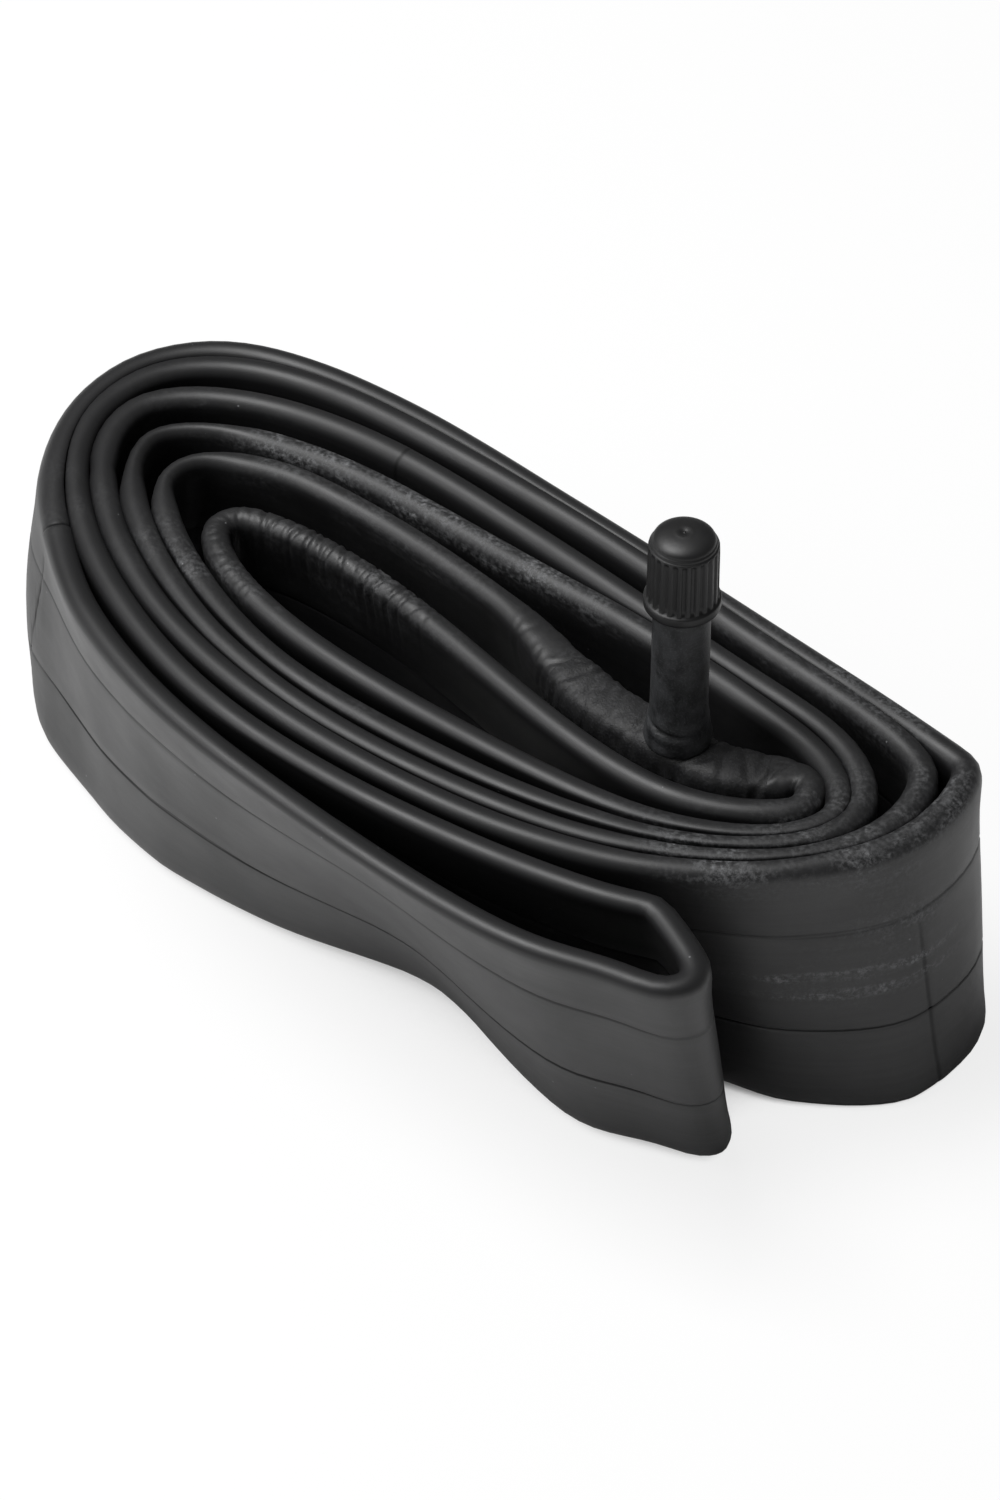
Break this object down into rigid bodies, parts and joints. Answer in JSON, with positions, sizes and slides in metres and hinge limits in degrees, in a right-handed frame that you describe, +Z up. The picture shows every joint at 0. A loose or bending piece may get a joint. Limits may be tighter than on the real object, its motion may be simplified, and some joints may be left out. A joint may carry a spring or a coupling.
{
  "type": "bicycle inner tube",
  "caption": "Rolled-up bicycle inner tube: an emptied butyl tube doubled over, rolled and stood on edge, with a rubber-covered car-type valve, valve core and screw-on dust cap",
  "frame": {"origin": "under the middle of the roll's box, on the surface it stands on", "axes": "+Z up along the valve, +X along the roll's longer side in plan, towards the end where the valve stands"},
  "size_m": [0.1506, 0.0784, 0.0821],
  "materials": {
    "butyl": "satin, dusted with talc",
    "patch_rubber": "matt, cured rough",
    "stem_rubber": "satin moulded",
    "brass": "machined",
    "pin_brass": "drawn",
    "gasket": "satin",
    "seal_rubber": "matt",
    "spring_steel": "drawn wire",
    "cap_plastic": "moulded, semi-gloss"
  },
  "bodies": {
    "tube": {"tube_body": "butyl", "valve_pad": "patch_rubber", "stem_jacket": "stem_rubber", "stem_insert": "brass", "core_plug": "brass", "core_barrel": "brass", "barrel_gasket": "gasket", "core_spring": "spring_steel"},
    "core": {"core_pin": "pin_brass", "core_cup": "brass", "cup_seal": "seal_rubber"},
    "cap_gasket": {"cap_seal": "seal_rubber"},
    "cap": {"dust_cap": "cap_plastic"}
  },
  "joints": [
    {"name": "core_press", "type": "slide", "parent": "tube", "child": "core", "axis": [0, 0, -1], "range_m": [0, 0.0015], "stiffness_N_per_m": 800, "springref_m": -0.003, "deforming": ["core_spring"]},
    {"name": "cap_lift", "type": "slide", "parent": "tube", "child": "cap_gasket", "axis": [0, 0, 1], "range_m": [0, 0.00953]},
    {"name": "cap_turn", "type": "hinge", "parent": "cap_gasket", "child": "cap", "pos_m": [0.03279, 0.00334, 0.0697], "axis": [0, 0, 1], "range_deg": [0, 4320]}
  ],
  "couplings": [
    {"joint": "cap_turn", "follows": "cap_lift", "rad_per_m": 7913.3}
  ]
}
